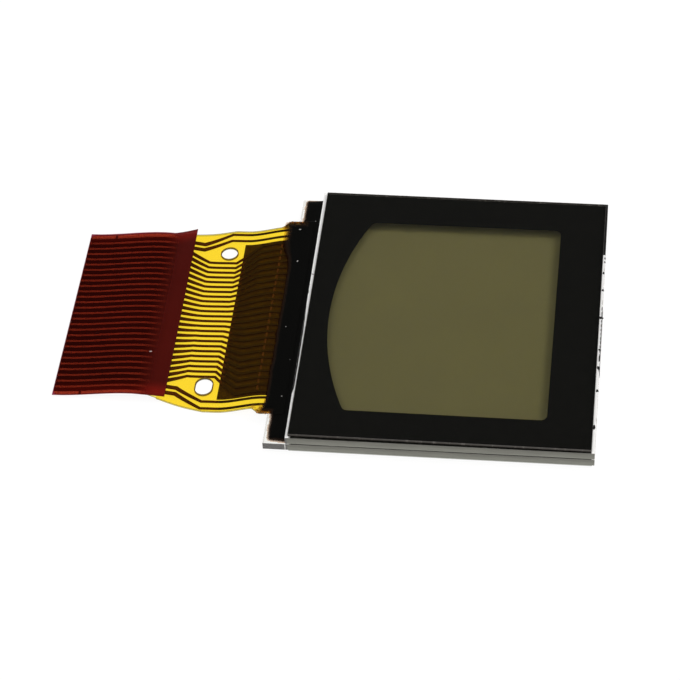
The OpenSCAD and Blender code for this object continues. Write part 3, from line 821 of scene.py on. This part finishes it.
# ---------------------------------------------------------------- sealing resin
# Black silicone resin, poured along the ledge over the bonded end of the circuit. It climbs
# the front glass and thins to a brown edge at its toe.
TOE_X, TAB_TOE_X, FAR_TOE_X = -10.53, -10.97, -11.58
FRONT_Y, BACK_Y = -10.93, 10.785
TOE_ROUND, TAB_TOE_ROUND, TAB_INSET = 0.3, 0.15, 0.04
SLANT, SLANT_Y = 0.12, -7.2
RUN_OUT_Y, RUN_OUT = 4.0, 3.0
WANDER, WANDER_RATE = 0.05, 0.9
TOE_THICK, THINNEST, SWELL_IN, CLIMB_IN = 0.012, 0.01, 0.45, 0.2
BARE_SWELL, BARE_CLIMB, TAB_SWELL, TAB_CLIMB = 0.09, 0.17, 0.06, 0.09
BROWN_WIDE = 0.3
RESIN_STEP, RESIN_ACROSS, RESIN_MARGIN = 0.06, 42, 0.05

resin_from, resin_to = span("sealing_resin")


def inside(x, y, x0, y0, y1, radius):
    """Distance inside a strip open to the right, with its two left corners rounded."""
    d = min(x - x0, y - y0, y1 - y)
    cx = x0 + radius - x
    cy = max(y0 + radius - y, y - y1 + radius)
    if cx > 0 and cy > 0:
        d = radius - hypot(cx, cy)
    return d


def wander(y, seed):
    """A slow unevenness along the poured edge."""
    return WANDER * noise.noise(Vector((y * WANDER_RATE, seed, 0.0)))


def thinned(y):
    """1 at the tab's back end, where the resin has run out into a long thin toe."""
    t = min(1.0, max(0.0, (y - RUN_OUT_Y) / RUN_OUT))
    return t * t * (3 - 2 * t)


def resin_depth(x, y):
    """How far a point is inside the resin's outline."""
    front = FRONT_Y + SLANT * (TOE_X + 1 - x)
    bare = inside(x, y, TOE_X + wander(y, 3.0), front, BACK_Y, TOE_ROUND)
    toe = TAB_TOE_X + (FAR_TOE_X - TAB_TOE_X) * thinned(y)
    toe += wander(y, 7.0) - SLANT * max(0.0, SLANT_Y - y)
    side = flex_high.y - TAB_INSET
    return max(bare, inside(x, y, toe, -side, side, TAB_TOE_ROUND))


def on_tab(x, y):
    """Whether the circuit lies under a point of the resin."""
    return abs(y) < flex_high.y and x < flex_high.x


def resin_low(x, y):
    """Height of the resin's foot, on the circuit or on the ledge."""
    return (circuit_top(x) if on_tab(x, y) else rear_high.z) + HAIR


def resin_high(x, y):
    """Height of the resin's face, which swells from its toe and climbs the front glass."""
    d = max(0.0, resin_depth(x, y))
    climb = max(0.0, (x - resin_from.x) / (resin_to.x - resin_from.x)) ** 3
    swell = sqrt(min(1.0, d / SWELL_IN))
    foot = resin_low(x, y)
    rise = TOE_THICK + BARE_SWELL * swell + BARE_CLIMB * climb * min(1.0, d / CLIMB_IN)
    if on_tab(x, y):
        rise = foot - rear_high.z + TOE_THICK + TAB_SWELL * swell + TAB_CLIMB * climb
    return min(max(foot + THINNEST, rear_high.z + rise), resin_to.z)


start = FAR_TOE_X - 0.1
columns = [
    start + (resin_to.x - HAIR - start) * i / RESIN_ACROSS for i in range(RESIN_ACROSS + 1)
]
count = round((BACK_Y - FRONT_Y) / RESIN_STEP)
rows = [
    FRONT_Y - RESIN_MARGIN + (BACK_Y + RESIN_MARGIN - FRONT_Y) * j / count
    for j in range(count + 1)
]
verts, index, faces = [], {}, []
for i, x in enumerate(columns):
    for j, y in enumerate(rows):
        if resin_depth(x, y) > -0.02:
            index[i, j] = len(verts)
            verts.append((x, y, resin_high(x, y)))
under = len(verts)
verts += [(x, y, resin_low(x, y)) for x, y, z in verts]
cells = [
    (i, j) for i in range(len(columns) - 1) for j in range(len(rows) - 1)
    if all(k in index for k in ((i, j), (i + 1, j), (i + 1, j + 1), (i, j + 1)))
]
kept = set(cells)
for i, j in cells:
    a, b = index[i, j], index[i + 1, j]
    c, d = index[i + 1, j + 1], index[i, j + 1]
    faces.append((a, b, c, d))
    faces.append((under + d, under + c, under + b, under + a))
    beside = (((i, j - 1), a, b), ((i + 1, j), b, c), ((i, j + 1), c, d), ((i - 1, j), d, a))
    for other, p, q in beside:
        if other not in kept:
            faces.append((q, p, under + p, under + q))
resin_mesh = bpy.data.meshes.new("resin")
resin_mesh.from_pydata(verts, [], faces)
layer = resin_mesh.attributes.new("depth", "FLOAT", "POINT")
layer.data.foreach_set("value", [
    max(0.0, resin_depth(x, y)) / (BROWN_WIDE * (1 + (thinned(y) if on_tab(x, y) else 0.0)))
    for x, y, z in verts
])
resin_mesh.shade_smooth()

# Silicone resin filled with carbon: black and satin, brown where it is thin.
resin, tree = new_material("black silicone resin")
depth = add(tree, "Attribute", out="Fac", attribute_name="depth")
sway = add(tree, "TexNoise", {"Vector": in_mm(tree), "Scale": 2.5, "Detail": 4.0})
sway = add(tree, "Math", {0: sway, 1: 0.3, 2: -0.15}, operation="MULTIPLY_ADD")
off_toe = add(tree, "MapRange", {"Value": depth, "From Min": 0.0, "From Max": 0.3})
sway = add(tree, "Math", {0: sway, 1: off_toe}, operation="MULTIPLY")
filled = add(tree, "Math", {0: depth, 1: sway}, operation="ADD")
filled = add(tree, "MapRange", {"Value": filled}, interpolation_type="SMOOTHSTEP")
tone = add(tree, "Mix", {0: filled, 6: "#3a2a20", 7: "#080807"}, 2, data_type="RGBA")
satin = add(tree, "BsdfPrincipled", {
    "Base Color": tone, "Roughness": 0.45, "IOR": 1.43, "Specular IOR Level": 0.03,
})
tint = add(tree, "Mix", {0: filled, 6: "#f2e6dc", 7: "#54402f"}, 2, data_type="RGBA")
add(tree, "OutputMaterial", {"Surface": see_through(tree, tint, filled, satin)})
piece("resin", resin_mesh, resin, ["sealing_resin"])

# ---------------------------------------------------------------- dust and squeezed adhesive
# Loose specks: pale lint on the films and the resin, black bits on the bare glass beside the
# film, and amber bonding adhesive squeezed out at the tab's corners.
AROUND, LEVELS = 8, ((1.0, 0.0), (0.85, 0.55), (0.45, 0.9))
RED_LINT, LINT_LIFT = (-18.67, -3.64), 0.00052
FILM_SINK, RIM_SINK = 0.02, 0.05
BIT_SIZE, BIT_TALL = 1.3, 0.09
PORT_Y, PORT_STEP, PORT_COUNT = 1.3, 0.37, 12
DROP_START, DROP_STEP, DROP_COUNT, DROP_SINK = 0.62, 0.16, 6, 0.09


def specks(name, spots):
    """Lumps on a surface. A spot is x, y, z, length, width, height and turn in degrees."""
    verts, faces = [], []
    for x, y, z, long, wide, tall, turn in spots:
        base = len(verts)
        c, s = cos(radians(turn)), sin(radians(turn))
        shape = [rng.uniform(0.65, 1.1) for _ in range(AROUND)]
        for out, up in LEVELS:
            for k in range(AROUND):
                a = 2 * pi * k / AROUND
                u = 0.5 * long * out * shape[k] * cos(a)
                v = 0.5 * wide * out * shape[k] * sin(a)
                verts.append((x + c * u - s * v, y + s * u + c * v, z + tall * up))
        verts += [(x, y, z + tall), (x, y, z)]
        for r in range(len(LEVELS) - 1):
            for k in range(AROUND):
                m = (k + 1) % AROUND
                a, b = base + r * AROUND, base + (r + 1) * AROUND
                faces.append((a + k, a + m, b + m, b + k))
        top = base + (len(LEVELS) - 1) * AROUND
        tip = top + AROUND
        for k in range(AROUND):
            m = (k + 1) % AROUND
            faces += [(top + k, top + m, tip), (base + m, base + k, tip + 1)]
    made = bpy.data.meshes.new(name)
    made.from_pydata(verts, [], faces)
    made.shade_smooth()
    return made


# Cotton lint: off-white, matt.
lint, tree = new_material("cotton lint")
fluff = add(tree, "TexNoise", {"Vector": in_mm(tree), "Scale": 8.0, "Detail": 3.0})
tone = add(tree, "Mix", {0: fluff, 6: "#8f8d8a", 7: "#d9d6d2"}, 2, data_type="RGBA")
matt = add(tree, "BsdfPrincipled", {
    "Base Color": tone, "Roughness": 0.9, "Specular IOR Level": 0.1,
})
add(tree, "OutputMaterial", {"Surface": matt})
lint_z = circuit_top(RED_LINT[0]) + HAIR * 2 + RED_THICK + LINT_LIFT
pale = [(*RED_LINT, lint_z, 0.24, 0.12, 0.04, 15)]
pale += [
    (x, y, resin_high(x, y), size, size * 0.7, 0.03, turn)
    for x, y, size, turn in (
        (-10.56, 7.75, 0.16, 10), (-10.38, 4.76, 0.14, 60), (-10.41, -1.23, 0.08, 0),
        (-9.94, -7.24, 0.09, 40), (-9.62, 8.6, 0.06, 20), (-9.8, -4.1, 0.05, 70),
    )
]
film_z = film_high.z - FILM_SINK
pale += [(x, y, film_z, 0.05, 0.04, 0.018, 0) for x, y in ((6.26, -7.81), (0.74, 0.83))]
piece("lint", specks("lint", pale), lint)

# Dried black adhesive: bits of the mask's edge left on the glass rim, with a line of it
# along the filling port.
black_bits, tree = new_material("dried black adhesive")
crust = add(tree, "TexNoise", {"Vector": in_mm(tree), "Scale": 8.0, "Detail": 3.0})
tone = add(tree, "Mix", {0: crust, 6: "#0c0b0a", 7: "#1c1a18"}, 2, data_type="RGBA")
satin = add(tree, "BsdfPrincipled", {
    "Base Color": tone, "Roughness": 0.5, "Specular IOR Level": 0.2,
})
add(tree, "OutputMaterial", {"Surface": satin})
rim_z = glass_high.z - HAIR
dark = [
    (glass_high.x - inset, y, rim_z - RIM_SINK, BIT_SIZE * long, BIT_SIZE * wide, BIT_TALL, 0)
    for y, inset, long, wide in (
        (5.9, 0.02, 0.1, 0.2), (5.55, 0.02, 0.1, 0.2), (4.56, 0.06, 0.13, 0.26),
        (2.98, 0.06, 0.14, 0.22), (0.5, 0.06, 0.24, 0.24), (-2.3, 0.05, 0.16, 0.2),
        (-3.1, 0.04, 0.08, 0.6), (-3.85, 0.06, 0.2, 0.34), (-5.8, 0.06, 0.15, 0.3),
        (-8.85, 0.12, 0.18, 0.44),
    )
]
dark += [
    (glass_high.x - 0.03, PORT_Y - PORT_STEP * k, rim_z - RIM_SINK, 0.07, 0.5, BIT_TALL, 0)
    for k in range(PORT_COUNT)
]
dark.append((glass_low.x + 0.08, 3.27, rim_z, 0.2, 0.07, 0.02, 0))
piece("black_bits", specks("black_bits", dark), black_bits)

# Cured bonding adhesive: amber to brown, glossy, in small drops.
squeezed, tree = new_material("squeezed bonding adhesive")
cure = add(tree, "TexNoise", {"Vector": in_mm(tree), "Scale": 5.0, "Detail": 3.0})
cure = add(tree, "MapRange", {"Value": cure, "From Min": 0.35, "From Max": 0.65})
tone = add(tree, "Mix", {0: cure, 6: "#3a1d05", 7: "#d8922a"}, 2, data_type="RGBA")
glossy = add(tree, "BsdfPrincipled", {"Base Color": tone, "Roughness": 0.25, "IOR": 1.55})
add(tree, "OutputMaterial", {"Surface": glossy})
drops = []
for side in (-1, 1):
    for k in range(DROP_COUNT):
        drops.append((
            rear_low.x - DROP_START + DROP_STEP * k,
            side * (flex_high.y - 0.05 * rng.random()),
            flex_high.z - DROP_SINK + 0.03 * rng.random(),
            rng.uniform(0.16, 0.3), rng.uniform(0.12, 0.22), rng.uniform(0.05, 0.1),
            rng.uniform(-40, 40),
        ))
piece("squeeze_out", specks("squeeze_out", drops), squeezed)
